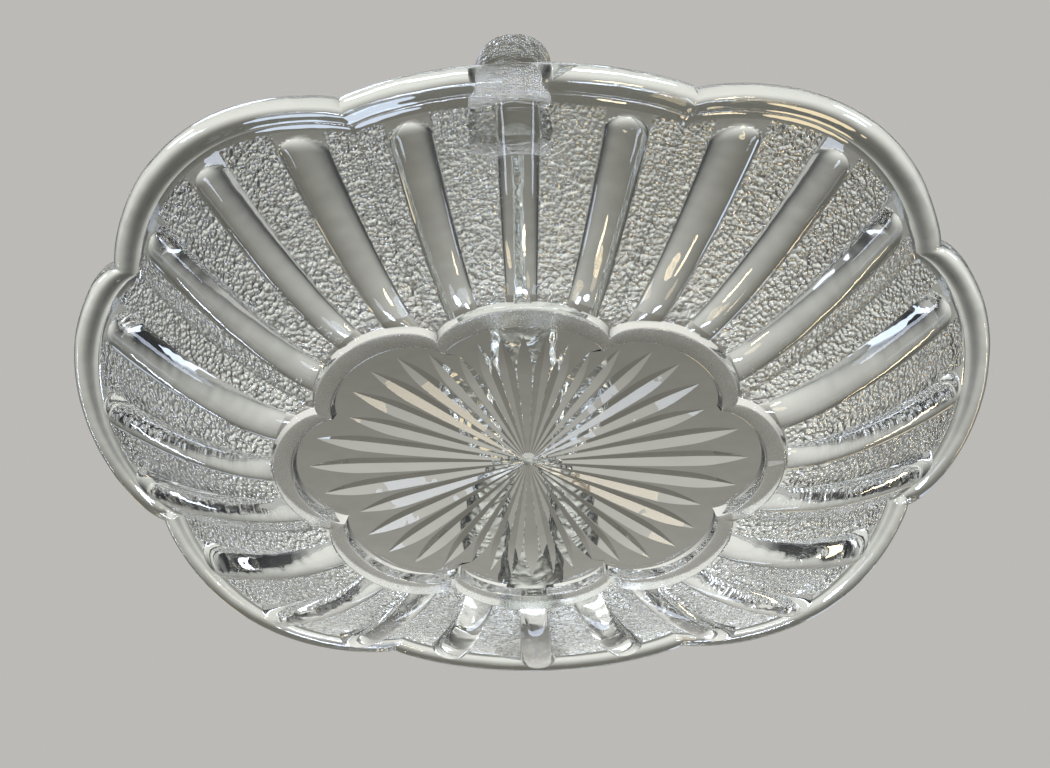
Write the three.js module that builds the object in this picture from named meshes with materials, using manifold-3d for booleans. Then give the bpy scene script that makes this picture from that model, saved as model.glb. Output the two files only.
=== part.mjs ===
// Pressed glass basket: an eight-lobed oval bowl on a lobed foot, with 24 half-round ribs
// outside, a 40-ray star pressed into the base and an arched handle across the short axis.
// Millimetres, +Z up. The origin is the centre of the foot on the surface that the basket
// stands on, +X is the long axis, and the mould seams and the handle follow the plane x = 0.
import * as THREE from 'three';
import { ConvexGeometry } from 'three/addons/geometries/ConvexGeometry.js';
import { ParametricGeometry } from 'three/addons/geometries/ParametricGeometry.js';
import { mergeVertices } from 'three/addons/utils/BufferGeometryUtils.js';
import Module from 'manifold-3d';

const wasm = await Module();
wasm.setup();

// Rim, seen from above
const rimLength = 190;
const rimWidth = 141.6;
const rimSideHeight = 25; // middle of the lip at the long sides
const rimEndHeight = 33; // middle of the lip at the two ends, which sweep up
const lipWidth = 6.2;
const lipThickness = 3.4;
const lipRise = 1.8; // how far the lip climbs from the wall to its edge

// Bowl wall and base
const wallThickness = 3.6;
const wallFootHeight = 2; // underside of the wall where it leaves the foot
const wallCurve = 1.5; // power of the bowl's curve from the foot to the lip

// Foot ring
const footLength = 98.2;
const footWidth = 69;
const footHeight = 2.5; // the star lies this far above the surface
const footRingWidth = 4.8;
const footSlant = 0.8; // how far each side of the ring slopes in towards its flat
const footBevel = 0.4;

// Ribs
const ribFootWidth = 5.4;
const ribTopWidth = 9;
const ribFootHeight = 1;
const ribTopHeight = 2.8;

// Star in the base
const rayCount = 40;
const rayDepth = 1.1;
const rayTipMargin = 2.5; // from a ray's tip to the foot ring
const rayHubRadius = 3.5;

// Handle
const overallHeight = 110;
const handleSpan = 139; // outside to outside, over the rim
const handleOffset = -1.5; // the arch stands a little off the mould seam
const archFullness = 2.4; // 2 makes the arch half an ellipse, and more squares its shoulders
const handleWidth = 15;
const handleDome = 6.6; // rounded outer part of the section
const handleBody = 4; // flat-backed inner part of the section
const handleBevel = 1.6;
const handleRidgePitch = 5.2;
const handleRidgeDepth = 0.5;
const handleRootFlare = 3.5; // extra thickness where a leg spreads on the wall
const handleRootReach = 13; // height over which the flare fades out
const handleLegDepth = 12; // leg below the rim, trimmed by the bowl

const fitGap = 0.3; // between pieces that meet on a curved face
const overrun = 20; // cuts run this far past the piece that they cut

// Eight lobes: the notch beside a side lobe and the one beside an end lobe, as shares of the
// half length and the half width
const rimNotchShares = [[0.344, 0.915], [0.858, 0.434]];
const footNotchShares = [[0.318, 0.816], [0.799, 0.39]];
const rimCornerBulgeShare = 0.206; // of the corner lobe's chord
const footCornerBulgeShare = 0.273;
const rimFullnessShares = [0.85, 0.92, 0.72]; // side, corner, end: under 1 is boxier than a parabola
const footFullnessShares = [0.65, 0.65, 0.65];
const ribCentreShares = [0.16, 0.5, 0.84]; // along each lobe
const ribAcrossShares = [-1, -0.5, 0, 0.5, 1];

// Stations up the wall, from the foot to the lip
const wallStationShares = [0, 0.15, 0.35, 0.55, 0.75, 0.9, 0.97, 1];
const ribEndShare = 0.9; // a rib starts to round off here
const seamRibEndShare = 0.97; // the ribs on the mould seams run squarely up to the lip
const rayWaistShare = 0.62; // a ray is widest here, measured from the centre
const rayFillShare = 0.74; // of the pitch, so that neighbouring rays stay apart

const lobeKinds = ['side', 'corner', 'end'];
const lobeOrder = ['side', 'corner', 'end', 'corner', 'side', 'corner', 'end', 'corner'];

const lerp = THREE.MathUtils.lerp;

// Outline of an eight-lobed oval, from the notches of one quarter
function lobedOutline(length, width, notchShares, cornerBulgeShare, fullnessShares) {
  const halfLength = length / 2;
  const halfWidth = width / 2;
  const [side, end] = notchShares.map(([x, y]) => new THREE.Vector2(halfLength * x, halfWidth * y));
  const corners = [
    [-side.x, -side.y], [side.x, -side.y], [end.x, -end.y], [end.x, end.y],
    [side.x, side.y], [-side.x, side.y], [-end.x, end.y], [-end.x, -end.y],
  ].map(([x, y]) => new THREE.Vector2(x, y));
  const bulges = [halfWidth - side.y, side.distanceTo(end) * cornerBulgeShare, halfLength - end.x];
  return { corners, bulges, fullnessShares };
}

function lobeChord(outline, lobe) {
  return outline.corners[lobe].distanceTo(outline.corners[(lobe + 1) % outline.corners.length]);
}

// Point at the share t along a lobe, counter-clockwise
function lobePoint(outline, lobe, t) {
  const from = outline.corners[lobe];
  const to = outline.corners[(lobe + 1) % outline.corners.length];
  const along = to.clone().sub(from);
  const outward = new THREE.Vector2(along.y, -along.x).normalize();
  const kind = lobeKinds.indexOf(lobeOrder[lobe]);
  const rise = outline.bulges[kind] * (4 * t * (1 - t)) ** outline.fullnessShares[kind];
  return from.clone().addScaledVector(along, t).addScaledVector(outward, rise);
}

const rimOutline = lobedOutline(rimLength, rimWidth, rimNotchShares, rimCornerBulgeShare, rimFullnessShares);

function footOutline(inset) {
  return lobedOutline(footLength - 2 * inset, footWidth - 2 * inset, footNotchShares,
    footCornerBulgeShare, footFullnessShares);
}

const wallOutline = footOutline(0);

// Columns round the bowl: five across each rib, and one or more on the ground between ribs.
// They start at the mould seam in the middle of one long side.
function lobeColumns(lobe) {
  const columns = [{ lobe, notch: true }, { lobe, before: 0 }];
  ribCentreShares.forEach((centreShare, rib) => {
    ribAcrossShares.forEach((across) => columns.push({ lobe, centreShare, across }));
    columns.push({ lobe, after: rib });
  });
  return columns;
}

// The mould seams run down the middle ribs of the two long sides
const seamRibShare = ribCentreShares[(ribCentreShares.length - 1) / 2];

function onSeamRib(column) {
  return lobeOrder[column.lobe] === 'side' && column.centreShare === seamRibShare;
}

function allColumns() {
  const columns = lobeOrder.flatMap((kind, lobe) => lobeColumns(lobe));
  const seam = columns.findIndex((column) => onSeamRib(column) && column.across === 0);
  return columns.slice(seam).concat(columns.slice(0, seam));
}

const columns = allColumns();

// Share t of a column along its lobe, at a share s of the way from the foot to the rim
function columnShare(column, s) {
  const chord = lerp(lobeChord(wallOutline, column.lobe), lobeChord(rimOutline, column.lobe), s);
  const halfRib = lerp(ribFootWidth, ribTopWidth, s) / 2 / chord;
  if (column.notch) return 0;
  if (column.centreShare !== undefined) return column.centreShare + column.across * halfRib;
  if (column.before !== undefined) return (ribCentreShares[0] - halfRib) / 2;
  const left = ribCentreShares[column.after] + halfRib;
  const next = ribCentreShares[column.after + 1];
  return (left + (next === undefined ? 1 : next - halfRib)) / 2;
}

function rimHeightAt(point) {
  const x = point.x / rimLength;
  const y = point.y / rimWidth;
  const turn = (x * x - y * y) / (x * x + y * y);
  return lerp(rimSideHeight, rimEndHeight, (1 + turn) / 2);
}

// Everything that the wall and the lip need in one column, at one share of the way out
function stationAt(column, s) {
  const t = columnShare(column, s);
  const foot = lobePoint(wallOutline, column.lobe, t);
  const rim = lobePoint(rimOutline, column.lobe, t);
  return { foot, rim, run: foot.distanceTo(rim), height: rimHeightAt(rim), ...column };
}

function planPoint(station, distance) {
  return station.foot.clone().lerp(station.rim, distance / station.run);
}

function lipStartHeight(station) {
  return station.height - lipThickness / 2 - lipRise;
}

// Outer surface of the wall: its height and slope at a share w of the way up to the lip
function wallAt(station, w) {
  const reach = station.run - lipWidth;
  const rise = lipStartHeight(station) - wallFootHeight;
  return {
    distance: reach * w,
    height: wallFootHeight + rise * w ** wallCurve,
    slope: (wallCurve * rise * w ** (wallCurve - 1)) / reach,
  };
}

function wallUpright(slope) {
  return wallThickness * Math.hypot(1, slope);
}

// A rib stands square off the wall, half round across, and rounds off under the lip
function ribRise(column, share) {
  if (column.across === undefined) return 0;
  const endShare = onSeamRib(column) ? seamRibEndShare : ribEndShare;
  const round = Math.max(0, (share - endShare) / (1 - endShare));
  const full = lerp(ribFootHeight, ribTopHeight, share) * Math.sqrt(1 - round ** 2);
  return full * Math.sqrt(1 - column.across ** 2);
}

function outerWallPoint(column, share, end) {
  const station = stationAt(column, share * end);
  const { distance, height, slope } = wallAt(station, share * end);
  const out = station.rim.clone().sub(station.foot).normalize();
  const lift = ribRise(column, share) / Math.hypot(1, slope);
  const plan = planPoint(station, distance).addScaledVector(out, lift * slope);
  return new THREE.Vector3(plan.x, plan.y, height - lift);
}

function innerWallPoint(column, w, gap) {
  const station = stationAt(column, w);
  const { distance, height, slope } = wallAt(station, w);
  const plan = planPoint(station, distance);
  return new THREE.Vector3(plan.x, plan.y, height + wallUpright(slope) + gap);
}

function wallSection(column) {
  const end = 1 - fitGap / (stationAt(column, 1).run - lipWidth);
  const outer = wallStationShares.map((share) => outerWallPoint(column, share, end));
  const inner = wallStationShares.map((share) => innerWallPoint(column, share * end, 0));
  return outer.concat(inner.reverse());
}

// The lip's edge is a half round, and its two faces run back from there to the wall
const lipRoundAngles = [-90, -45, 0, 45, 90].map(THREE.MathUtils.degToRad);

function lipSection(column) {
  const station = stationAt(column, 1);
  const { slope } = wallAt(station, 1);
  const start = station.run - lipWidth;
  const radius = lipThickness / 2;
  const at = (distance, height) => {
    const plan = planPoint(station, distance);
    return new THREE.Vector3(plan.x, plan.y, height);
  };
  const edge = lipRoundAngles.map((angle) => at(station.run - radius + radius * Math.cos(angle),
    station.height + radius * Math.sin(angle)));
  const bottom = at(start, lipStartHeight(station));
  const top = at(start, lipStartHeight(station) + wallUpright(slope));
  return [bottom, ...edge, top];
}

function footSection(column) {
  const t = columnShare(column, 0);
  const ringPoint = (inset, height) => {
    const plan = lobePoint(footOutline(inset), column.lobe, t);
    return new THREE.Vector3(plan.x, plan.y, height);
  };
  return [
    ringPoint(fitGap, footHeight),
    ringPoint(fitGap + footSlant, footBevel),
    ringPoint(fitGap + footSlant + footBevel, 0),
    ringPoint(footRingWidth - footSlant - footBevel, 0),
    ringPoint(footRingWidth - footSlant, footBevel),
    ringPoint(footRingWidth, footHeight),
  ];
}

// Merges the corners that faces share, drops faces without area and turns the faces out
function closedBody(geometry) {
  geometry.deleteAttribute('normal');
  geometry.deleteAttribute('uv');
  const merged = mergeVertices(geometry);
  const place = merged.attributes.position;
  const corner = (k) => new THREE.Vector3().fromBufferAttribute(place, k);
  const faces = [];
  let volume = 0;
  for (let i = 0; i < merged.index.count; i += 3) {
    const [a, b, c] = [0, 1, 2].map((k) => merged.index.getX(i + k));
    if (a === b || b === c || c === a) continue;
    faces.push([a, b, c]);
    volume += corner(a).dot(corner(b).cross(corner(c)));
  }
  merged.setIndex(faces.flatMap(([a, b, c]) => (volume < 0 ? [a, c, b] : [a, b, c])));
  return merged;
}

// A closed ring of sections round the bowl
function ringBody(sectionAt) {
  const sections = columns.map(sectionAt);
  const points = sections[0].length;
  const surface = (u, v, target) => {
    const section = sections[Math.round(u * columns.length) % columns.length];
    target.copy(section[Math.round(v * points) % points]);
  };
  return closedBody(new ParametricGeometry(surface, columns.length, points));
}

// A row of sections with flat ends. Each end closes on the line midway between its two faces.
function rowBody(sections) {
  const points = sections[0].length;
  const last = sections.length + 1;
  const closing = (section, k) => section[k].clone().lerp(section[points - 1 - k], 0.5);
  const surface = (u, v, target) => {
    const row = Math.round(u * last);
    const k = Math.round(v * points) % points;
    if (row === 0) target.copy(closing(sections[0], k));
    else if (row === last) target.copy(closing(sections[last - 2], k));
    else target.copy(sections[row - 1][k]);
  };
  return closedBody(new ParametricGeometry(surface, last, points));
}

// One half of the wall, from seam to seam. The seam ends lie exactly in the plane x = 0.
function wallHalf(first) {
  const half = columns.length / 2;
  const sections = [];
  for (let i = 0; i <= half; i += 1) {
    const section = wallSection(columns[(first + i) % columns.length]);
    if (i === 0 || i === half) section.forEach((point) => point.setX(0));
    sections.push(section);
  }
  return rowBody(sections);
}

function toSolid(geometry) {
  const vertProperties = new Float32Array(geometry.attributes.position.array);
  const triVerts = new Uint32Array(geometry.index.array);
  return new wasm.Manifold(new wasm.Mesh({ numProp: 3, vertProperties, triVerts }));
}

function toGeometry(solid) {
  const mesh = solid.getMesh();
  const geometry = new THREE.BufferGeometry();
  geometry.setAttribute('position', new THREE.BufferAttribute(mesh.vertProperties, mesh.numProp));
  geometry.setIndex(new THREE.BufferAttribute(mesh.triVerts, 1));
  return geometry;
}

// Distance from the centre to a closed outline in one direction
function outlineRadius(points, angle) {
  const ray = new THREE.Vector2(Math.cos(angle), Math.sin(angle));
  let radius = 0;
  points.forEach((a, i) => {
    const b = points[(i + 1) % points.length];
    const edge = b.clone().sub(a);
    const cross = ray.cross(edge);
    const along = a.cross(edge) / cross;
    const share = a.cross(ray) / cross;
    if (along > 0 && share >= 0 && share <= 1) radius = Math.max(radius, along);
  });
  return radius;
}

function outlinePoints(outline) {
  return columns.map((column) => lobePoint(outline, column.lobe, columnShare(column, 0)));
}

// A ray is a groove with a V section: narrow at the hub, widest at its waist, pointed at its tip
function rayCutter(angle, tipRadius) {
  const waist = tipRadius * rayWaistShare;
  const halfPitch = (Math.PI / rayCount) * rayFillShare;
  const deeper = (rayDepth + overrun) / rayDepth;
  const hubDepth = (rayDepth * rayHubRadius) / waist;
  const hubDeeper = (hubDepth + overrun) / hubDepth;
  const low = footHeight - overrun;
  const points = [
    [rayHubRadius, 0, footHeight + hubDepth],
    [waist, 0, footHeight + rayDepth],
    [tipRadius + ((tipRadius - waist) * overrun) / rayDepth, 0, low],
  ];
  [-1, 1].forEach((hand) => {
    points.push([waist, hand * waist * halfPitch * deeper, low]);
    points.push([rayHubRadius, hand * rayHubRadius * halfPitch * hubDeeper, low]);
  });
  const cutter = new ConvexGeometry(points.map(([x, y, z]) => new THREE.Vector3(x, y, z)));
  return toSolid(closedBody(cutter.rotateZ(angle)));
}

function starBase() {
  const disc = new THREE.ExtrudeGeometry(new THREE.Shape(outlinePoints(footOutline(fitGap))), {
    depth: wallFootHeight + wallThickness - footHeight, bevelEnabled: false,
  });
  let solid = toSolid(closedBody(disc.translate(0, 0, footHeight)));
  const inside = outlinePoints(footOutline(footRingWidth));
  for (let i = 0; i < rayCount; i += 1) {
    const angle = (i * 2 * Math.PI) / rayCount;
    solid = solid.subtract(rayCutter(angle, outlineRadius(inside, angle) - rayTipMargin));
  }
  return toGeometry(solid);
}

// Everything that the bowl and a fitting gap above it take up, so that a leg can be trimmed to it
function bowlClearance() {
  return toSolid(ringBody((column) => {
    const inner = wallStationShares.map((w) => innerWallPoint(column, w, fitGap));
    const station = stationAt(column, 1);
    const edge = planPoint(station, station.run);
    const beyond = planPoint(station, station.run + overrun);
    const top = station.height + lipThickness / 2 + fitGap;
    return [
      ...inner,
      new THREE.Vector3(edge.x, edge.y, top),
      new THREE.Vector3(beyond.x, beyond.y, top),
      new THREE.Vector3(beyond.x, beyond.y, -overrun),
      new THREE.Vector3(station.foot.x, station.foot.y, -overrun),
    ];
  }));
}

// Handle section: x across, y outwards from the widest line. It is listed so that points k
// and last - k face each other across the middle.
const handleDomeSteps = 8;

function handleSection(ridge, flare) {
  const half = handleWidth / 2;
  const right = [];
  const left = [];
  for (let i = 0; i <= handleDomeSteps / 2; i += 1) {
    const angle = (Math.PI / handleDomeSteps) * i;
    const x = half * Math.cos(angle);
    const y = (handleDome - ridge) * Math.sin(angle);
    right.push(new THREE.Vector2(x, y));
    if (i < handleDomeSteps / 2) left.push(new THREE.Vector2(-x, y));
  }
  const back = -handleBody - flare;
  const corner = handleBevel - handleBody;
  return [
    new THREE.Vector2(0, back),
    new THREE.Vector2(half - handleBevel, back),
    new THREE.Vector2(half, corner),
    ...right,
    ...left.reverse(),
    new THREE.Vector2(-half, corner),
    new THREE.Vector2(handleBevel - half, back),
  ];
}

// The arch is a full-shouldered half oval on two upright legs, and small ridges cross its rounded face
function handleBodyGeometry() {
  const spanRadius = handleSpan / 2 - handleDome;
  const riseRadius = overallHeight - handleDome - rimSideHeight;
  const arcLength = (Math.PI * (spanRadius + riseRadius)) / 2;
  const ridges = Math.round(arcLength / handleRidgePitch);
  const steps = 2 * ridges;
  const sections = [];
  const addSection = (angle, drop, ridge) => {
    const cosine = Math.cos(angle);
    const sine = Math.abs(Math.sin(angle));
    const stretch = (Math.abs(cosine) ** archFullness + sine ** archFullness) ** (-1 / archFullness);
    const across = cosine * stretch;
    const up = sine * stretch;
    const height = rimSideHeight + riseRadius * up - drop;
    const centre = new THREE.Vector3(handleOffset, -spanRadius * across, height);
    const out = new THREE.Vector3(0, (-Math.sign(across) * Math.abs(across) ** (archFullness - 1)) / spanRadius,
      up ** (archFullness - 1) / riseRadius);
    out.normalize();
    const fade = THREE.MathUtils.clamp((height - rimSideHeight) / handleRootReach, 0, 1);
    const flare = handleRootFlare * (1 - fade) ** 2;
    sections.push(handleSection(ridge, flare).map((point) => new THREE.Vector3(point.x, 0, 0)
      .add(centre).addScaledVector(out, point.y)));
  };
  addSection(0, handleLegDepth, 0);
  for (let i = 0; i <= steps; i += 1) {
    addSection((i * Math.PI) / steps, 0, (Math.abs(i - ridges) % 2) * handleRidgeDepth);
  }
  addSection(Math.PI, handleLegDepth, 0);
  return rowBody(sections);
}

function archedHandle() {
  return toGeometry(toSolid(handleBodyGeometry()).subtract(bowlClearance()));
}

const clearGlass = { color: 0xdfe6e8, roughness: 0.05, metalness: 0, transparent: true, opacity: 0.35 };
const stippledGlass = { ...clearGlass, roughness: 0.3 };

function piece(name, geometry, finish) {
  const mesh = new THREE.Mesh(geometry, new THREE.MeshStandardMaterial(finish));
  mesh.name = name;
  return mesh;
}

const basket = new THREE.Group();
basket.add(piece('foot_ring', ringBody(footSection), clearGlass));
basket.add(piece('star_base', starBase(), clearGlass));
basket.add(piece('ribbed_wall_right', wallHalf(0), stippledGlass));
basket.add(piece('ribbed_wall_left', wallHalf(columns.length / 2), stippledGlass));
basket.add(piece('scalloped_rim', ringBody(lipSection), clearGlass));
basket.add(piece('arched_handle', archedHandle(), clearGlass));

export default basket;
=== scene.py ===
"""Pressed glass basket, dressed for rendering: a lobed oval bowl with half-round ribs on a stippled
ground, a star pressed into the base and an arched handle, all of clear glass."""

import math

import bmesh
import bpy
from bpy.props import FloatProperty, IntProperty, PointerProperty, StringProperty
from mathutils import Matrix, Vector, noise


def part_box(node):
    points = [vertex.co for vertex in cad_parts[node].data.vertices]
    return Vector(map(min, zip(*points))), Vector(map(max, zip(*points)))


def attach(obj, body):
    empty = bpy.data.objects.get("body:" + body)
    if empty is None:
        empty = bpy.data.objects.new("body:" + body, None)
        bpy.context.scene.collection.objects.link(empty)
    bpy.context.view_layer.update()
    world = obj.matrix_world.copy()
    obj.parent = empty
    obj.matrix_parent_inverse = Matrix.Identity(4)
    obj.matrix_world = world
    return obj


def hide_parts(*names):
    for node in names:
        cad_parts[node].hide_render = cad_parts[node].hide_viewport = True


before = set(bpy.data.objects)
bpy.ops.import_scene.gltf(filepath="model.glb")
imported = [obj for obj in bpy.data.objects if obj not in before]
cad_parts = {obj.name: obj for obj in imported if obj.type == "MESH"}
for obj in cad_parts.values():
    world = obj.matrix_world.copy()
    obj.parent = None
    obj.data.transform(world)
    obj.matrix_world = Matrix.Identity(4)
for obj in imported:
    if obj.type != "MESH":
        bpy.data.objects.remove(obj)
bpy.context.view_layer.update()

bl_info = {
    "name": "Pressed Glass Basket",
    "version": (1, 0, 0),
    "blender": (4, 5, 0),
    "location": "View3D > Sidebar > Glass Basket",
    "description": "Builds a lobed, ribbed basket of pressed glass with a star base and an arched handle",
    "category": "Object",
}

MM = 0.001
RIM_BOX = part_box("scalloped_rim")
HANDLE_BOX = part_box("arched_handle")

# Eight lobes round the bowl, counter-clockwise from the middle of a long side. The notch beside a
# side lobe and the one beside an end lobe are shares of the half length and the half width.
LOBE_KINDS = ("side", "corner", "end")
LOBE_ORDER = ("side", "corner", "end", "corner", "side", "corner", "end", "corner")
RIM_NOTCH_SHARES = ((0.344, 0.915), (0.858, 0.434))
FOOT_NOTCH_SHARES = ((0.318, 0.816), (0.799, 0.39))
RIM_CORNER_BULGE_SHARE = 0.206
FOOT_CORNER_BULGE_SHARE = 0.273
RIM_FULLNESS_SHARES = (0.85, 0.92, 0.72)
FOOT_FULLNESS_SHARES = (0.65, 0.65, 0.65)
RIB_CENTRE_SHARES = (0.16, 0.5, 0.84)

# Where a rib starts to round off and where it ends, as shares of the wall's height. The ribs on the two
# mould seams run squarely up to the lip.
RIB_END_SHARES = (0.885, 0.965)
SEAM_RIB_END_SHARES = (0.985, 1.0)
SEAM_LOBES = (0, 4)
SEAM_RIB = 1

# The power of the wall's curve, and the shares of its height over which the stippled ground comes in at
# the foot and fades out at the lip
WALL_CURVE = 1.5
GROUND_FADE_SHARES = (0.03, 0.02)

# Underside of the lip from the wall to the edge, as shares of its width and of its height: a shallow cove,
# and then a rounded bead
LIP_SHARES = ((0, 0), (0.1, 0.12), (0.22, 0.2), (0.34, 0.155), (0.46, 0.075), (0.58, 0.03), (0.7, 0.06),
              (0.82, 0.2), (0.92, 0.46), (0.985, 0.78), (1, 1))

# Inner side of the foot ring where it runs out into the base, as shares of its slant and of its rounding
RING_CREASE_SHARES = ((0.35, 1.2), (0.08, 0.4))

# Star: places across a ray and then, as None, on the land beside it; how nearly the rays touch at the hub;
# the powers of their pointed ends, of the blend between the two and of the rows' spacing; the flat part of
# the margin beside the ring; and how near the inner face's rows come to its centre
RAY_ACROSS = (-1, -2 / 3, -1 / 3, 0, 1 / 3, 2 / 3, 1, None)
RAY_TOUCHING_SHARE = 0.96
RAY_FULLNESS = 1.9
RAY_BLEND = 6
RAY_SPACING = 0.8
LAND_SHARE = 0.4
INNER_FACE_SHARE = 0.97

# Handle: its place beside the mould seam; the powers of its arch and of its dome; how far its ridges lie
# back at the sides; the sharpness of its wrinkles; and where above the rim its skin starts and comes in
HANDLE_OFFSET = (HANDLE_BOX[0].x + HANDLE_BOX[1].x) / 2
ARCH_FULLNESS = 2.4
DOME_FULLNESS = 0.9
RIDGE_SLANT = 1.6 * MM
WRINKLE_SHARPNESS = 3
SKIN_START = 5 * MM
SKIN_FADE = 10 * MM

# Where the bowl is searched for the handle's roots, and the solid that trims them
ROOT_SEARCH_SHARE = 0.75
ROOT_CLEARANCE = 2 * MM
CUTTER_REACH_SHARE = 1.6
CUTTER_OVERRUN = 20 * MM

# Texture of the glass: the waves of its fire-polished skin; the edge of a bead as a share of its pitch; and
# the scuffs of the foot's flat, drawn as specks of half a millimetre because real ones are too fine to show
SKIN_WAVE = 9 * MM
SKIN_WAVE_HEIGHT = 0.22 * MM
BEAD_EDGE_SHARE = 0.6
SCUFF_SIZE = 0.5 * MM
SCUFF_HEIGHT = 0.12 * MM
SCUFF_ROUGHNESS = 0.42
POLISHED_ROUGHNESS = 0.015
SHADOW_TINT = (0.86, 0.87, 0.87, 1.0)

# Painted floor, in metres, and the grain of its paint
FLOOR_SIZE = 6
PAINT_GRAIN = 1.2 * MM
PAINT_GRAIN_HEIGHT = 0.02 * MM

# Steps of the meshes
RIB_STEPS = 12
GROUND_STEPS = 30
WALL_ROWS = 112
INNER_ROWS = 16
LIP_UNDER_ROWS = 24
LIP_EDGE_ROWS = 6
LIP_TOP_ROWS = 6
BASE_ROWS = 9
RAY_ROWS = 26
CUTTER_FIRST_ROW = 4
HANDLE_STEPS = 540
DOME_STEPS = 38
CORNER_STEPS = 6
ROUND_STEPS = 4

# Camera, found by fitting the rim, the ring and the rays to the photograph, and the directions of its picture
VIEW_AZIMUTH = 3.0
VIEW_ELEVATION = -59.89
VIEW_ROLL = 1.27
VIEW_DISTANCE = 284.04 * MM
VIEW_TARGET = (-0.57 * MM, -7.01 * MM, 20 * MM)
VIEW_LENS = 49.01
VIEW_START = 10 * MM
SENSOR_WIDTH = 36
PICTURE_UP = (0.0, -0.865, 0.501)
PICTURE_RIGHT = (1.0, 0.0, 0.0)

# Lamps: name, colour, direction, distance, width, height, radiance and, where they aren't True and False,
# whether the lamp shows through the glass and whether it lights the floor. The low lamps stand where the
# star's facets don't mirror them, and the star lamps, which are dim, where they do.
LAMP_AIM = Vector((0, 0, 30 * MM))
LAMPS = (
    ("left_window", "daylight", (-0.77, -0.49, -0.16), 1.0, 0.16, 0.5, 9, False),
    ("right_window", "daylight", (0.77, -0.49, -0.16), 1.0, 0.16, 0.5, 9, False),
    ("left_edge_light", "daylight", (-0.865, 0.5, 0), 1.1, 0.6, 0.06, 24, False),
    ("right_edge_light", "lamplight", (0.865, 0.5, 0), 1.1, 0.6, 0.06, 24, False),
    ("low_left_light", "daylight", (-0.2, 0.02, -0.98), 0.9, 0.13, 0.22, 36),
    ("low_right_light", "daylight", (0.18, 0.05, -0.98), 0.9, 0.1, 0.22, 36),
    ("warm_light", "lamplight", (0.25, -0.5, -0.83), 0.9, 0.1, 0.24, 38),
    ("cool_star_light", "daylight", (-0.33, -0.07, -0.94), 0.9, 0.2, 0.2, 5),
    ("warm_star_light", "lamplight", (0.37, -0.12, -0.92), 0.9, 0.2, 0.2, 5),
    ("left_strip", "daylight", (-0.97, 0.05, -0.1), 1.2, 0.15, 0.5, 1.3),
    ("right_strip", "daylight", (0.97, 0.05, -0.1), 1.2, 0.15, 0.5, 1.3),
    ("far_strip", "daylight", (0.1, 1, -0.1), 1.2, 0.9, 0.2, 4),
    ("top_light", "daylight", (-0.5, -0.45, 0.8), 1.3, 0.5, 0.5, 9, False, True),
    ("left_spark", "daylight", (-0.22, 0.1, 0.97), 1.2, 0.2, 0.2, 0.8),
    ("right_spark", "lamplight", (0.28, 0.13, 0.95), 1.2, 0.2, 0.2, 0.85),
    ("low_spark", "daylight", (0, 0.82, 0.57), 1.2, 0.14, 0.14, 1.5),
)

# Material slots of every piece of glass
SURFACE, JOINT, ROOT = range(3)

# Edges sharper than this are drawn as creases, on the bowl and on the star
SHARP_ANGLE = math.radians(28)
FACET_ANGLE = math.radians(12)


def length(name, description, millimetres):
    return FloatProperty(name=name, description=description, default=millimetres * MM, min=0.0, unit="LENGTH",
                         subtype="DISTANCE", precision=5)


def colour(name, description, hex_value):
    return StringProperty(name=name, description=description + ", as an sRGB hex value", default=hex_value)


class BASKET_PG_bowl(bpy.types.PropertyGroup):
    """Sizes of the rim, the wall and its ribs"""

    rim_length: length("Rim length", "Over the lip, along the long axis", (RIM_BOX[1].x - RIM_BOX[0].x) / MM)
    rim_width: length("Rim width", "Over the lip, across the short axis", (RIM_BOX[1].y - RIM_BOX[0].y) / MM)
    side_height: length("Rim height at the sides", "Middle of the lip at the long sides", 25)
    end_height: length("Rim height at the ends", "Middle of the lip at the two ends, which sweep up", 33)
    lip_width: length("Lip width", "Smooth lip outside the wall", 6.2)
    lip_thickness: length("Lip thickness", "Thickness of the rounded edge", 3.4)
    lip_rise: length("Lip rise", "How far the lip climbs from the wall to its edge", 1.8)
    wall: length("Wall", "Thickness of the glass between the ribs", 3.6)
    wall_foot: length("Wall foot", "Height of the wall's underside where it leaves the foot", 2)
    rib_foot_width: length("Rib width at the foot", "Width of a rib where it starts", 5.4)
    rib_top_width: length("Rib width at the top", "Width of a rib under the lip", 9)
    rib_foot_height: length("Rib height at the foot", "How far a rib stands out at the foot", 1)
    rib_top_height: length("Rib height at the top", "How far a rib stands out under the lip", 2.8)
    stipple_pitch: length("Stipple pitch", "Distance between the finer beads of the ground", 0.85)
    stipple_height: length("Stipple height", "How far the finer beads stand out", 0.19)
    bead_pitch: length("Bead pitch", "Distance between the larger beads of the ground", 1.1)
    bead_height: length("Bead height", "How far the larger beads stand out", 0.2)
    waviness: length("Waviness", "How far the fire-polished lip strays from its drawn line", 0.22)


class BASKET_PG_foot(bpy.types.PropertyGroup):
    """Sizes of the foot ring and the star"""

    foot_length: length("Foot length", "Over the foot ring, along the long axis", 98.2)
    foot_width: length("Foot width", "Over the foot ring, across the short axis", 69)
    foot_height: length("Foot height", "How far the star lies above the surface", 2.5)
    ring_width: length("Ring width", "Width of the foot ring where it meets the base", 4.8)
    ring_slant: length("Ring slant", "How far each side of the ring slopes in", 0.55)
    ring_round: length("Ring rounding", "Radius at the edges of the ring's flat", 0.4)
    ray_count: IntProperty(name="Rays", description="Rays of the star", default=40, min=8)
    ray_width: length("Ray width", "Width of a ray at its widest place", 3.6)
    ray_point: length("Ray point", "Length over which a ray narrows to its tip", 10)
    ray_depth: length("Ray depth", "Depth of a ray at its widest place", 0.75)
    ray_margin: length("Ray margin", "From a ray's tip to the foot ring", 2.5)
    hub_radius: length("Hub radius", "Where the rays end round the centre", 0.9)
    dish: length("Dish", "How far the middle of the inner face sinks", 0.25)


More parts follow.
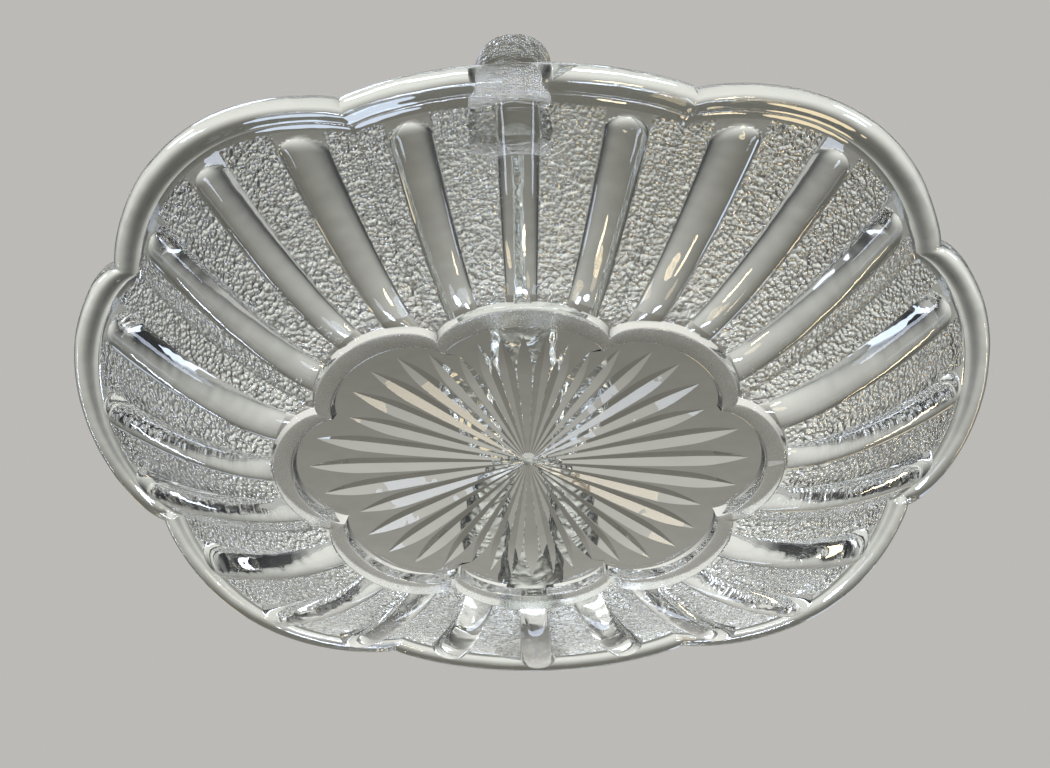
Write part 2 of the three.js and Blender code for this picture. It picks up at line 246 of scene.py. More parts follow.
class BASKET_PG_handle(bpy.types.PropertyGroup):
    """Sizes of the arched handle"""

    top: length("Height", "Top of the handle above the surface", HANDLE_BOX[1].z / MM)
    span: length("Span", "Outside to outside over the rim", 139)
    width: length("Width", "Width of the handle's section", (HANDLE_BOX[1].x - HANDLE_BOX[0].x) / MM)
    dome: length("Dome", "Height of the rounded outer part of the section", 6.6)
    body: length("Body", "Depth of the flat-backed inner part of the section", 4)
    bevel: length("Bevel", "Width of the rounding of the back's edges", 1.6)
    ridge_pitch: length("Ridge pitch", "Distance between the ridges that cross the handle", 5.2)
    ridge_depth: length("Ridge depth", "Depth of the hollows between the ridges", 0.12)
    wrinkle_pitch: length("Wrinkle pitch", "Distance between the wrinkles in the handle's skin", 1.5)
    wrinkle_length: length("Wrinkle length", "How far a wrinkle runs before it wanders", 3.5)
    wrinkle_slant: length("Wrinkle slant", "How far the wrinkles lie back towards the handle's sides", 5)
    wrinkle_depth: length("Wrinkle depth", "Depth of the wrinkles", 0.45)
    root_flare: length("Root flare", "Extra thickness where a leg spreads on the wall", 3.5)
    root_reach: length("Root reach", "Height over which the flare fades out", 13)
    leg_depth: length("Leg depth", "Depth of the leg below the rim before it is trimmed to the bowl", 12)


class BASKET_PG_looks(bpy.types.PropertyGroup):
    """Colours of the glass, the backdrop and the lamps"""

    glass: colour("Glass", "Colour of the glass", "#F6FAF9")
    backdrop: colour("Backdrop", "Colour of the floor and the backdrop", "#BCBAB6")
    surround: colour("Surround", "Colour of the studio beside the backdrop", "#2E2F31")
    shade: colour("Shade", "Colour of the darkest part of the backdrop, seen through the glass", "#66645C")
    gleam: colour("Gleam", "Colour of the lightest part of the backdrop, seen through the glass", "#F2F0E9")
    fill: colour("Fill", "Even light on matt surfaces", "#ECEBEA")
    daylight: colour("Daylight", "Colour of the cool lamp", "#DCE8FF")
    lamplight: colour("Lamplight", "Colour of the warm lamp", "#FFE6BC")


def linear(hex_value):
    """An sRGB hex colour as linear RGBA."""
    parts = [int(hex_value[i:i + 2], 16) / 255 for i in (1, 3, 5)]
    return [c / 12.92 if c <= 0.04045 else ((c + 0.055) / 1.055) ** 2.4 for c in parts] + [1.0]


def lerp(a, b, t):
    return a + (b - a) * t


def smooth(t):
    t = min(1.0, max(0.0, t))
    return t * t * (3 - 2 * t)


def curve_through(points, t):
    """A point of the smooth curve through the given ones, t of the way along their list."""
    place = t * (len(points) - 1)
    i = min(int(place), len(points) - 2)
    u = place - i
    before, a, b, after = (Vector(points[min(max(k, 0), len(points) - 1)]) for k in range(i - 1, i + 3))
    return ((2 * a) + (b - before) * u + (2 * before - 5 * a + 4 * b - after) * u ** 2
            + (3 * a - before - 3 * b + after) * u ** 3) / 2


class Outline:
    """An eight-lobed oval in plan, whose points are found by lobe and by share along the lobe."""

    def __init__(self, size_x, size_y, notch_shares, corner_bulge_share, fullness_shares):
        half_x, half_y = size_x / 2, size_y / 2
        side, end = (Vector((half_x * x, half_y * y)) for x, y in notch_shares)
        signs = ((side, -1, -1), (side, 1, -1), (end, 1, -1), (end, 1, 1),
                 (side, 1, 1), (side, -1, 1), (end, -1, 1), (end, -1, -1))
        corners = [Vector((notch.x * x, notch.y * y)) for notch, x, y in signs]
        bulges = (half_y - side.y, (side - end).length * corner_bulge_share, half_x - end.x)
        self.lobes = []
        for lobe, kind in enumerate(LOBE_ORDER):
            start = corners[lobe]
            chord = corners[(lobe + 1) % len(corners)] - start
            outward = Vector((chord.y, -chord.x)).normalized()
            k = LOBE_KINDS.index(kind)
            self.lobes.append((start, chord, outward, bulges[k], fullness_shares[k]))

    def chord(self, lobe):
        return self.lobes[lobe][1].length

    def point(self, lobe, t):
        start, chord, outward, bulge, fullness = self.lobes[lobe]
        return start + chord * t + outward * (bulge * max(0.0, 4 * t * (1 - t)) ** fullness)


class Column:
    """One line up the bowl: on a rib, with its place across it, or on the ground between ribs."""

    def __init__(self, lobe, rib=None, across=None, gap=None, share=0.0):
        self.lobe, self.rib, self.across, self.gap, self.share = lobe, rib, across, gap, share
        self.on_seam_rib = rib == SEAM_RIB and lobe in SEAM_LOBES


def bowl_columns():
    """Columns round the bowl, starting at the mould seam in the middle of one long side."""
    columns = []
    for lobe in range(len(LOBE_ORDER)):
        for gap in range(len(RIB_CENTRE_SHARES) + 1):
            outer = gap in (0, len(RIB_CENTRE_SHARES))
            steps = GROUND_STEPS // 2 if outer else GROUND_STEPS
            first = 0 if gap == 0 else 1
            columns += [Column(lobe, gap=gap, share=i / steps) for i in range(first, steps)]
            if gap < len(RIB_CENTRE_SHARES):
                columns += [Column(lobe, rib=gap, across=-math.cos(math.pi * i / RIB_STEPS))
                            for i in range(RIB_STEPS + 1)]
    middle = next(i for i, c in enumerate(columns)
                  if c.lobe == 0 and c.rib == SEAM_RIB and abs(c.across) < 1e-9)
    return columns[middle:] + columns[:middle]


class Bowl:
    """The formulas of the bowl's surfaces, in the frame's metres."""

    def __init__(self, scene):
        self.size = scene.basket_bowl
        self.foot_size = scene.basket_foot
        self.rim = Outline(self.size.rim_length, self.size.rim_width, RIM_NOTCH_SHARES,
                           RIM_CORNER_BULGE_SHARE, RIM_FULLNESS_SHARES)
        self.foot = self.foot_outline(0)
        self.columns = bowl_columns()

    def foot_outline(self, inset):
        size = self.foot_size
        return Outline(size.foot_length - 2 * inset, size.foot_width - 2 * inset, FOOT_NOTCH_SHARES,
                       FOOT_CORNER_BULGE_SHARE, FOOT_FULLNESS_SHARES)

    def share(self, column, s):
        """Share of a column along its lobe, s of the way from the foot to the rim."""
        chord = lerp(self.foot.chord(column.lobe), self.rim.chord(column.lobe), s)
        half = lerp(self.size.rib_foot_width, self.size.rib_top_width, s) / 2 / chord
        if column.rib is not None:
            return RIB_CENTRE_SHARES[column.rib] + column.across * half
        start = 0 if column.gap == 0 else RIB_CENTRE_SHARES[column.gap - 1] + half
        end = 1 if column.gap == len(RIB_CENTRE_SHARES) else RIB_CENTRE_SHARES[column.gap] - half
        return lerp(start, end, column.share)

    def rim_height(self, point):
        x, y = point.x / self.size.rim_length, point.y / self.size.rim_width
        turn = (x * x - y * y) / (x * x + y * y)
        return lerp(self.size.side_height, self.size.end_height, (1 + turn) / 2)

    def station(self, column, s):
        """Foot point, outward direction, run to the rim, and height of the lip's middle."""
        t = self.share(column, s)
        foot, rim = self.foot.point(column.lobe, t), self.rim.point(column.lobe, t)
        run = (rim - foot).length
        return foot, (rim - foot) / run, run, self.rim_height(rim)

    def lip_start(self, height):
        return height - self.size.lip_thickness / 2 - self.size.lip_rise

    def wall_at(self, station, w):
        """Distance out, height and slope of the wall's outer face, w of the way up."""
        run, height = station[2:]
        reach, rise = run - self.size.lip_width, self.lip_start(height) - self.size.wall_foot
        slope = WALL_CURVE * rise * w ** (WALL_CURVE - 1) / reach
        return reach * w, self.size.wall_foot + rise * w ** WALL_CURVE, slope

    def rib_rise(self, column, w):
        if column.rib is None:
            return 0.0
        start, end = SEAM_RIB_END_SHARES if column.on_seam_rib else RIB_END_SHARES
        rounded = max(0.0, (w - start) / (end - start))
        full = lerp(self.size.rib_foot_height, self.size.rib_top_height, w)
        return full * math.sqrt(max(0.0, 1 - column.across ** 2 - rounded ** 2))

    def ground_share(self, column, w):
        """How far a place belongs to the stippled ground: 1 on it, 0 on a rib and at the wall's edges."""
        if column.rib is not None:
            return 0.0
        at_foot, at_lip = GROUND_FADE_SHARES
        return smooth(w / at_foot) * smooth((1 - w) / at_lip)

    def bead_rise(self, place):
        """How far the stippled ground's larger beads stand out at a place. The shader adds the finer ones."""
        distance = noise.voronoi(place / self.size.bead_pitch)[0][0]
        return self.size.bead_height * max(0.0, 1 - (distance / BEAD_EDGE_SHARE) ** 2)

    def wall_place(self, column, w):
        """Place in plan, outward direction, height and slope of the wall's outer face."""
        station = self.station(column, w)
        foot, out = station[:2]
        distance, height, slope = self.wall_at(station, w)
        return foot + out * distance, out, height, slope

    def outer_point(self, column, w):
        plan, out, height, slope = self.wall_place(column, w)
        upright = math.hypot(1, slope)
        ground = self.ground_share(column, w)
        lift = self.rib_rise(column, w)
        if ground:
            lift += ground * self.bead_rise(Vector((plan.x, plan.y, height)))
        plan += out * (lift * slope / upright)
        return Vector((plan.x, plan.y, height - lift / upright))

    def inner_point(self, column, w):
        plan, out, height, slope = self.wall_place(column, w)
        return Vector((plan.x, plan.y, height + self.size.wall * math.hypot(1, slope)))

    def lip_points(self, column):
        """The lip's section, from the wall's outer face round the edge to the inner face."""
        station = self.station(column, 1)
        foot, out, run, height = station
        size = self.size
        slope = self.wall_at(station, 1)[2]
        radius, start = size.lip_thickness / 2, run - size.lip_width
        low, high = self.lip_start(height), self.lip_start(height) + size.wall * math.hypot(1, slope)
        profile = []
        for i in range(LIP_UNDER_ROWS):
            across, up = curve_through(LIP_SHARES, i / LIP_UNDER_ROWS)
            profile.append((lerp(start, run, across), lerp(low, height, up)))
        for i in range(LIP_EDGE_ROWS + 1):
            angle = math.pi / 2 * i / LIP_EDGE_ROWS
            profile.append((run - radius + radius * math.cos(angle), height + radius * math.sin(angle)))
        for i in range(1, LIP_TOP_ROWS + 1):
            share = i / LIP_TOP_ROWS
            profile.append((lerp(run - radius, start, share), lerp(height + radius, high, share)))
        points = []
        for distance, z in profile:
            plan = foot + out * distance
            free = smooth((distance - start) / (run - start))
            stray = noise.noise(Vector((plan.x, plan.y, z)) / SKIN_WAVE) * size.waviness * free
            plan += out * min(0.0, stray)
            points.append(Vector((plan.x, plan.y, z + stray * 0.5)))
        return points

    def ring_points(self, column):
        """The foot ring's section, from the wall round the flat to the base, and back along the joint."""
        size = self.foot_size
        t = self.share(column, 0)
        width, slant, radius = size.ring_width, size.ring_slant, size.ring_round
        side = [(0, self.size.wall_foot), (slant * 0.5, self.size.wall_foot * 0.5 + radius * 0.5)]
        turns = [math.pi / 2 * i / ROUND_STEPS for i in range(ROUND_STEPS + 1)]
        rounded = [(slant + radius - radius * math.cos(a), radius - radius * math.sin(a)) for a in turns]
        outer = side + rounded
        inner = [(width - inset, z) for inset, z in reversed(rounded)]
        inner += [(width - slant * across, size.foot_height - radius * down)
                  for across, down in RING_CREASE_SHARES]
        profile = outer + inner + [(width, size.foot_height), (0, size.foot_height)]
        points = []
        for inset, z in profile:
            plan = self.foot_outline(inset).point(column.lobe, t)
            points.append(Vector((plan.x, plan.y, z)))
        return points


def ring_edges(row, closed):
    """The edges that join a row of vertices."""
    pairs = list(zip(row, row[1:])) + ([(row[-1], row[0])] if closed else [])
    return [next(e for e in a.link_edges if e.other_vert(a) is b) for a, b in pairs]


def extrude_row(bm, row, points, closed):
    """Extrudes a row of vertices and moves the new row to its points."""
    made = bmesh.ops.extrude_edge_only(bm, edges=ring_edges(row, closed))["geom"]
    fresh = {g for g in made if isinstance(g, bmesh.types.BMVert)}
    new_row = [next(e.other_vert(v) for e in v.link_edges if e.other_vert(v) in fresh) for v in row]
    for vert, point in zip(new_row, points):
        vert.co = point
    return new_row


def first_row(bm, points, closed):
    """The first row of vertices of a sweep, joined by edges."""
    row = bmesh.ops.create_circle(bm, segments=len(points), radius=1.0)["verts"]
    if not closed:
        last = next(e for e in row[-1].link_edges if e.other_vert(row[-1]) is row[0])
        bmesh.ops.delete(bm, geom=[last], context="EDGES_FACES")
    for vert, point in zip(row, points):
        vert.co = point
    return row


def sweep_sections(bm, sections, closed):
    """Skins closed sections, one per column. Returns the rows of vertices, one per point of a section."""
    rows = [first_row(bm, [section[0] for section in sections], closed)]
    for k in range(1, len(sections[0])):
        rows.append(extrude_row(bm, rows[-1], [section[k] for section in sections], closed))
    last = extrude_row(bm, rows[-1], [section[0] for section in sections], closed)
    bmesh.ops.weld_verts(bm, targetmap=dict(zip(last, rows[0])))
    return rows


def mark_joint(rows, first, last):
    """Gives the faces between neighbouring rows, from one row to another, to the fused joint."""
    for k in range(first, last):
        row, following = rows[k % len(rows)], rows[(k + 1) % len(rows)]
        pairs = set(following)
        for vert in row:
            for face in vert.link_faces:
                if any(v in pairs for v in face.verts):
                    face.material_index = JOINT


def link_object(name, data):
    """Puts an object into the scene at the origin."""
    thing = bpy.data.objects.new(name, data)
    bpy.context.scene.collection.objects.link(thing)
    return thing


def mesh_object(bm, name, materials):
    """Turns a bmesh into an object of the scene."""
    mesh = bpy.data.meshes.new(name)
    bm.to_mesh(mesh)
    bm.free()
    for material in materials:
        mesh.materials.append(material)
    return link_object(name, mesh)


def finish_piece(bm, name, nodes, materials, sharp_angle=SHARP_ANGLE):
    """Turns a bmesh into a finished piece of the basket that stands for CAD nodes."""
    bmesh.ops.remove_doubles(bm, verts=bm.verts, dist=1e-6)
    bmesh.ops.recalc_face_normals(bm, faces=bm.faces)
    for face in bm.faces:
        face.smooth = True
    for edge in bm.edges:
        faces = edge.link_faces
        joint_border = len({face.material_index == JOINT for face in faces}) == 2
        edge.smooth = not joint_border and (len(faces) < 2 or edge.calc_face_angle(0.0) < sharp_angle)
    open_edges = sum(len(edge.link_faces) != 2 for edge in bm.edges)
    if open_edges:
        raise RuntimeError(f"{name} has {open_edges} open edges")
    piece = mesh_object(bm, name, materials)
    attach(piece, "root")
    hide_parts(*nodes)


class HandleSkin:
    """Ridges and wrinkles of the handle, so far along it and with a share of their full depth."""

    def __init__(self, size, along, share):
        self.size, self.along, self.share = size, along, share

    def ridge(self, x):
        """Depth between the ridges, which cross the handle as shallow chevrons."""
        size = self.size
        phase = (self.along + RIDGE_SLANT * abs(x) / (size.width / 2)) / size.ridge_pitch
        return self.share * size.ridge_depth * (0.5 - 0.5 * math.cos(2 * math.pi * phase))

    def wrinkle(self, x):
        """Depth of the wrinkles, which lie along the zeros of a noise."""
        size = self.size
        slanted = self.along + size.wrinkle_slant * abs(x) / (size.width / 2)
        place = Vector((x / size.wrinkle_length, slanted / size.wrinkle_pitch, 0))
        crease = 1 - min(1.0, WRINKLE_SHARPNESS * abs(noise.noise(place)))
        return self.share * size.wrinkle_depth * crease


def handle_profile(size, skin, flare):
    """Section of the handle, x across and y outwards: the dome, and then the flat back."""
    half = size.width / 2
    points = []
    for i in range(DOME_STEPS + 1):
        angle = math.pi * i / DOME_STEPS
        x = half * math.cos(angle)
        depth = size.dome - skin.ridge(x) - skin.wrinkle(x)
        points.append((x, depth * max(0.0, math.sin(angle)) ** DOME_FULLNESS))
    back = -size.body - flare
    radius = size.bevel
    for hand in (-1, 1):
        arc = []
        for i in range(CORNER_STEPS + 1):
            angle = math.pi / 2 * i / CORNER_STEPS
            x = half - radius + radius * math.cos(angle)
            arc.append((hand * x, back + radius - radius * math.sin(angle)))
        points += arc if hand < 0 else arc[::-1]
    return points


def root_outline(size):
    """Outline of a handle leg where it meets the bowl: x from the arch's plane, y from the long axis."""
    centre = size.span / 2 - size.dome
    return [(x, centre + y) for x, y in handle_profile(size, HandleSkin(size, 0, 0), size.root_flare)]


def depth_inside(outline, x, y):
    """Signed distance of a point inside a closed outline, negative outside it."""
    inside, nearest = False, 1.0
    for (ax, ay), (bx, by) in zip(outline, outline[1:] + outline[:1]):
        if (ay > y) != (by > y) and x < (bx - ax) * (y - ay) / (by - ay) + ax:
            inside = not inside
        ex, ey = bx - ax, by - ay
        t = min(1.0, max(0.0, ((x - ax) * ex + (y - ay) * ey) / max(ex * ex + ey * ey, 1e-18)))
        nearest = min(nearest, math.hypot(ax + ex * t - x, ay + ey * t - y))
    return nearest if inside else -nearest


def mark_roots(bm, rows, first, last, scene):
    """Opens the inner faces under the handle's legs, where the glass of the two runs on."""
    size = scene.basket_handle
    outline = root_outline(size)
    layer = bm.verts.layers.float["root"]
    reach = size.width * ROOT_SEARCH_SHARE
    near_y = size.span / 2 - size.dome - size.body - size.root_flare - ROOT_CLEARANCE
    for row in rows:
        for vert in row:
            vert[layer] = -1.0
    marked = set()
    for row in rows[first:last + 1]:
        for vert in row:
            x, y = vert.co.x - HANDLE_OFFSET, abs(vert.co.y)
            if abs(x) < reach and y > near_y:
                vert[layer] = depth_inside(outline, x, y) / MM
                marked.update(f for f in vert.link_faces if f.material_index == SURFACE)
    allowed = {v for row in rows[first:last + 1] for v in row}
    for face in marked:
        if not all(v in allowed for v in face.verts):
            continue
        depths = [v[layer] for v in face.verts]
        if min(depths) > 0:
            face.material_index = JOINT
        elif max(depths) > 0:
            face.material_index = ROOT


def cap_ends(bm, rows, material_index):
    """Closes both ends of an open sweep with a flat face."""
    for end in (0, -1):
        section = {row[end] for row in rows}
        edges = [e for e in bm.edges if e.is_boundary and e.verts[0] in section and e.verts[1] in section]
        for face in bmesh.ops.holes_fill(bm, edges=edges, sides=len(rows))["faces"]:
            face.material_index = material_index


def add_node(tree, kind, inputs=None, **settings):
    """Adds a shader node. An input is a value, a socket to link, or a node whose first output is linked."""
    node = tree.nodes.new("ShaderNode" + kind)
    for name, value in settings.items():
        setattr(node, name, value)
    for key, value in (inputs or {}).items():
        if isinstance(value, bpy.types.Node):
            value = value.outputs[0]
        if isinstance(value, bpy.types.NodeSocket):
            tree.links.new(value, node.inputs[key])
        else:
            node.inputs[key].default_value = value
    return node


def new_material(name):
    material = bpy.data.materials.new(name)
    material.use_nodes = True
    material.node_tree.nodes.clear()
    return material, material.node_tree


def pressed_glass_shader(tree, scene):
    """Soda-lime glass, pressed in an iron mould and fire-polished: clear, with a skin that is never quite
    flat, fine beads between the ribs and a foot scuffed dull by a century of tables."""
    bowl, looks = scene.basket_bowl, scene.basket_looks
    place = add_node(tree, "TexCoord").outputs["Object"]
    skin = add_node(tree, "TexNoise", {"Vector": place, "Scale": 1 / SKIN_WAVE, "Detail": 2.0})
    ripple = add_node(tree, "Bump", {"Height": skin, "Distance": SKIN_WAVE_HEIGHT, "Strength": 1.0})
    beads = add_node(tree, "TexVoronoi", {
        "Vector": place, "Scale": 1 / bowl.stipple_pitch, "Smoothness": 0.35}, feature="SMOOTH_F1")
    fall = add_node(tree, "Math", {0: beads, 1: 2.0}, operation="POWER")
    ground = add_node(tree, "Attribute", attribute_name="stipple").outputs["Fac"]
    bead = add_node(tree, "Math", {0: fall, 1: ground}, operation="MULTIPLY")
    stippled = add_node(tree, "Bump", {
        "Height": bead, "Distance": bowl.stipple_height / BEAD_EDGE_SHARE ** 2, "Strength": 1.0,
        "Normal": ripple}, invert=True)
    height = add_node(tree, "SeparateXYZ", {"Vector": place}).outputs["Z"]
    scuffs = add_node(tree, "TexNoise", {"Vector": place, "Scale": 1 / SCUFF_SIZE, "Detail": 3.0})
    worn = add_node(tree, "MapRange", {
        "Value": height, "From Min": 0.0, "From Max": SCUFF_HEIGHT, "To Min": SCUFF_ROUGHNESS,
        "To Max": 0.0}, clamp=True)
    scuffed = add_node(tree, "Math", {0: worn, 1: scuffs}, operation="MULTIPLY")
    roughness = add_node(tree, "Math", {0: scuffed, 1: POLISHED_ROUGHNESS}, operation="ADD")
    glass = add_node(tree, "BsdfPrincipled", {
        "Base Color": linear(looks.glass), "Roughness": roughness, "IOR": 1.51,
        "Transmission Weight": 1.0, "Normal": stippled})
    lamps = add_node(tree, "LightPath").outputs["Is Shadow Ray"]
    clear = add_node(tree, "BsdfTransparent", {"Color": SHADOW_TINT})
    return add_node(tree, "MixShader", {0: lamps, 1: glass, 2: clear})


def glass_materials(scene):
    """The surface, the joint between pieces that are one pressing, and the edge of a handle root."""
    names = ("pressed_soda_lime_glass", "fused_glass_joint", "pressed_glass_at_root")
    found = [bpy.data.materials.get(name) for name in names]
    if all(found):
        return found
    surface, tree = new_material(names[SURFACE])
    add_node(tree, "OutputMaterial", {"Surface": pressed_glass_shader(tree, scene)})
    # The real basket is one pressing, so light meets nothing where two of its pieces touch.
    joint, tree = new_material(names[JOINT])
    add_node(tree, "OutputMaterial", {"Surface": add_node(tree, "BsdfTransparent")})
    # The same pressed glass, left clear inside the outline of a handle's leg, where the two run together.
    root, tree = new_material(names[ROOT])
    shader = pressed_glass_shader(tree, scene)
    passing = add_node(tree, "BsdfTransparent")
    depth = add_node(tree, "Attribute", attribute_name="root").outputs["Fac"]
    covered = add_node(tree, "Math", {0: depth, 1: 0.0}, operation="GREATER_THAN")
    mixed = add_node(tree, "MixShader", {0: covered, 1: shader, 2: passing})
    add_node(tree, "OutputMaterial", {"Surface": mixed})
    return [surface, joint, root]


class BASKET_OT_foot_ring(bpy.types.Operator):
    """Build the lobed ring that the basket stands on"""

    bl_idname = "basket.foot_ring"
    bl_label = "Foot Ring"

    def execute(self, context):
        bowl = Bowl(context.scene)
        bm = bmesh.new()
        sections = [bowl.ring_points(column) for column in bowl.columns]
        rows = sweep_sections(bm, sections, closed=True)
        mark_joint(rows, len(rows) - 2, len(rows))
        finish_piece(bm, "foot_ring_glass", ["foot_ring"], glass_materials(context.scene))
        return {"FINISHED"}


def raised(points, height, share=1):
    """Points of an outline at a height, drawn in to a share of their distance from the centre."""
    return [Vector((p.x * share, p.y * share, height)) for p in points]


def radius_at(points, angle):
    """Distance from the centre to a closed outline in one direction."""
    dx, dy = math.cos(angle), math.sin(angle)
    best = 0.0
    for a, b in zip(points, points[1:] + points[:1]):
        ex, ey = b.x - a.x, b.y - a.y
        cross = dx * ey - dy * ex
        if abs(cross) < 1e-15:
            continue
        along = (a.x * ey - a.y * ex) / cross
        share = (a.x * dy - a.y * dx) / cross
        if along > 0 and -1e-9 <= share <= 1 + 1e-9:
            best = max(best, along)
    return best


def ray_width(foot, radius, tip):
    """Width of a ray: side by side with its neighbours near the hub, and a leaf's point at its tip."""
    touching = RAY_TOUCHING_SHARE * radius * 2 * math.pi / foot.ray_count
    left = 1 - min(1.0, (tip - radius) / foot.ray_point)
    leaf = foot.ray_width * (1 - max(0.0, left) ** RAY_FULLNESS)
    return (touching ** -RAY_BLEND + max(leaf, 1e-6) ** -RAY_BLEND) ** (-1 / RAY_BLEND)


class BASKET_OT_star_base(bpy.types.Operator):
    """Build the base plate with the star pressed into its underside"""

    bl_idname = "basket.star_base"
    bl_label = "Star Base"

    def star_row(self, foot, tips, s):
        """One loop of the star: across each ray, then the land beside it."""
        pitch = 2 * math.pi / foot.ray_count
        depth_scale = foot.ray_depth / (foot.ray_width / 2)
        points = []
        for ray in range(foot.ray_count):
            angle = ray * pitch - math.pi / 2
            radius = lerp(foot.hub_radius, tips[ray], s)
            half = ray_width(foot, radius, tips[ray]) / 2
            for across in RAY_ACROSS:
                if across is None:
                    radius = lerp(foot.hub_radius, (tips[ray] + tips[(ray + 1) % foot.ray_count]) / 2, s)
                    turn, depth = pitch / 2, 0.0
                else:
                    turn, depth = across * half / radius, (1 - abs(across)) * half * depth_scale
                turn += angle
                height = foot.foot_height + depth
                points.append(Vector((radius * math.cos(turn), radius * math.sin(turn), height)))
        return points

    def land_point(self, foot, edge, i):
        """A point of the flat land between the rays' tips and the ring."""
        across, pitch = len(RAY_ACROSS), 2 * math.pi / foot.ray_count
        angle = (i // across + (i % across - RAY_ACROSS.index(0)) / across) * pitch - math.pi / 2
        radius = radius_at(edge, angle) - foot.ray_margin * LAND_SHARE
        return Vector((radius * math.cos(angle), radius * math.sin(angle), foot.foot_height))

    def execute(self, context):
        scene = context.scene
        bowl, foot = Bowl(scene), scene.basket_foot
        bm = bmesh.new()
        edge = [bowl.foot_outline(foot.ring_width).point(c.lobe, bowl.share(c, 0)) for c in bowl.columns]
        outside = [bowl.foot.point(c.lobe, bowl.share(c, 0)) for c in bowl.columns]
        pitch = 2 * math.pi / foot.ray_count
        tips = [radius_at(edge, ray * pitch - math.pi / 2) - foot.ray_margin for ray in range(foot.ray_count)]
        star = [self.star_row(foot, tips, (i / RAY_ROWS) ** RAY_SPACING) for i in range(RAY_ROWS + 1)]
        row = bmesh.ops.create_circle(bm, cap_ends=True, segments=len(star[0]), radius=1.0)["verts"]
        for vert, point in zip(row, star[0]):
            vert.co = point
        for points in star[1:]:
            row = extrude_row(bm, row, points, True)
        row = extrude_row(bm, row, [self.land_point(foot, edge, i) for i in range(len(row))], True)
        outline = first_row(bm, raised(edge, foot.foot_height), True)
        bmesh.ops.triangle_fill(bm, use_beauty=True, edges=ring_edges(row, True) + ring_edges(outline, True))
        under = extrude_row(bm, outline, raised(outside, foot.foot_height), True)
        top = bowl.size.wall_foot + bowl.size.wall
        upper = extrude_row(bm, under, raised(outside, top), True)
        mark_joint([outline, under, upper], 0, 2)
        row = upper
        for i in range(1, BASE_ROWS + 1):
            share = 1 - (i / BASE_ROWS) * INNER_FACE_SHARE
            sunk = foot.dish * (1 - share ** 2) ** 2
            row = extrude_row(bm, row, raised(outside, top - sunk, share), True)
        bmesh.ops.contextual_create(bm, geom=row)
        finish_piece(bm, "star_base_glass", ["star_base"], glass_materials(scene), FACET_ANGLE)
        return {"FINISHED"}


class BASKET_OT_ribbed_walls(bpy.types.Operator):
    """Build the two halves of the wall, each from mould seam to mould seam"""

    bl_idname = "basket.ribbed_walls"
    bl_label = "Ribbed Walls"

    def build_half(self, scene, bowl, name, node, first):
        half = len(bowl.columns) // 2
        columns = [bowl.columns[(first + i) % len(bowl.columns)] for i in range(half + 1)]
        sections = []
        for column in columns:
            outer = [bowl.outer_point(column, i / WALL_ROWS) for i in range(WALL_ROWS + 1)]
            inner = [bowl.inner_point(column, 1 - i / INNER_ROWS) for i in range(INNER_ROWS + 1)]
            sections.append(outer + inner)
        for section in (sections[0], sections[-1]):
            for point in section:
                point.x = 0.0
        bm = bmesh.new()
        for layer_name in ("stipple", "root"):
            bm.verts.layers.float.new(layer_name)
        layer = bm.verts.layers.float["stipple"]
        rows = sweep_sections(bm, sections, closed=False)
        for k, row in enumerate(rows[:WALL_ROWS + 1]):
            for column, vert in zip(columns, row):
                vert[layer] = bowl.ground_share(column, k / WALL_ROWS)
        mark_joint(rows, WALL_ROWS, WALL_ROWS + 1)
        mark_joint(rows, len(rows) - 1, len(rows))
        mark_roots(bm, rows, WALL_ROWS + 1, len(rows) - 1, scene)
        cap_ends(bm, rows, JOINT)
        finish_piece(bm, name, [node], glass_materials(scene))

    def execute(self, context):
        bowl = Bowl(context.scene)
        self.build_half(context.scene, bowl, "wall_right_glass", "ribbed_wall_right", 0)
        self.build_half(context.scene, bowl, "wall_left_glass", "ribbed_wall_left", len(bowl.columns) // 2)
        return {"FINISHED"}


class BASKET_OT_scalloped_rim(bpy.types.Operator):
    """Build the smooth flared lip"""

    bl_idname = "basket.scalloped_rim"
    bl_label = "Scalloped Rim"

    def execute(self, context):
        scene = context.scene
        bowl = Bowl(scene)
        bm = bmesh.new()
        bm.verts.layers.float.new("root")
        rows = sweep_sections(bm, [bowl.lip_points(column) for column in bowl.columns], closed=True)
        mark_joint(rows, len(rows) - 1, len(rows))
        mark_roots(bm, rows, LIP_UNDER_ROWS, len(rows) - 1, scene)
        finish_piece(bm, "scalloped_rim_glass", ["scalloped_rim"], glass_materials(scene))
        return {"FINISHED"}


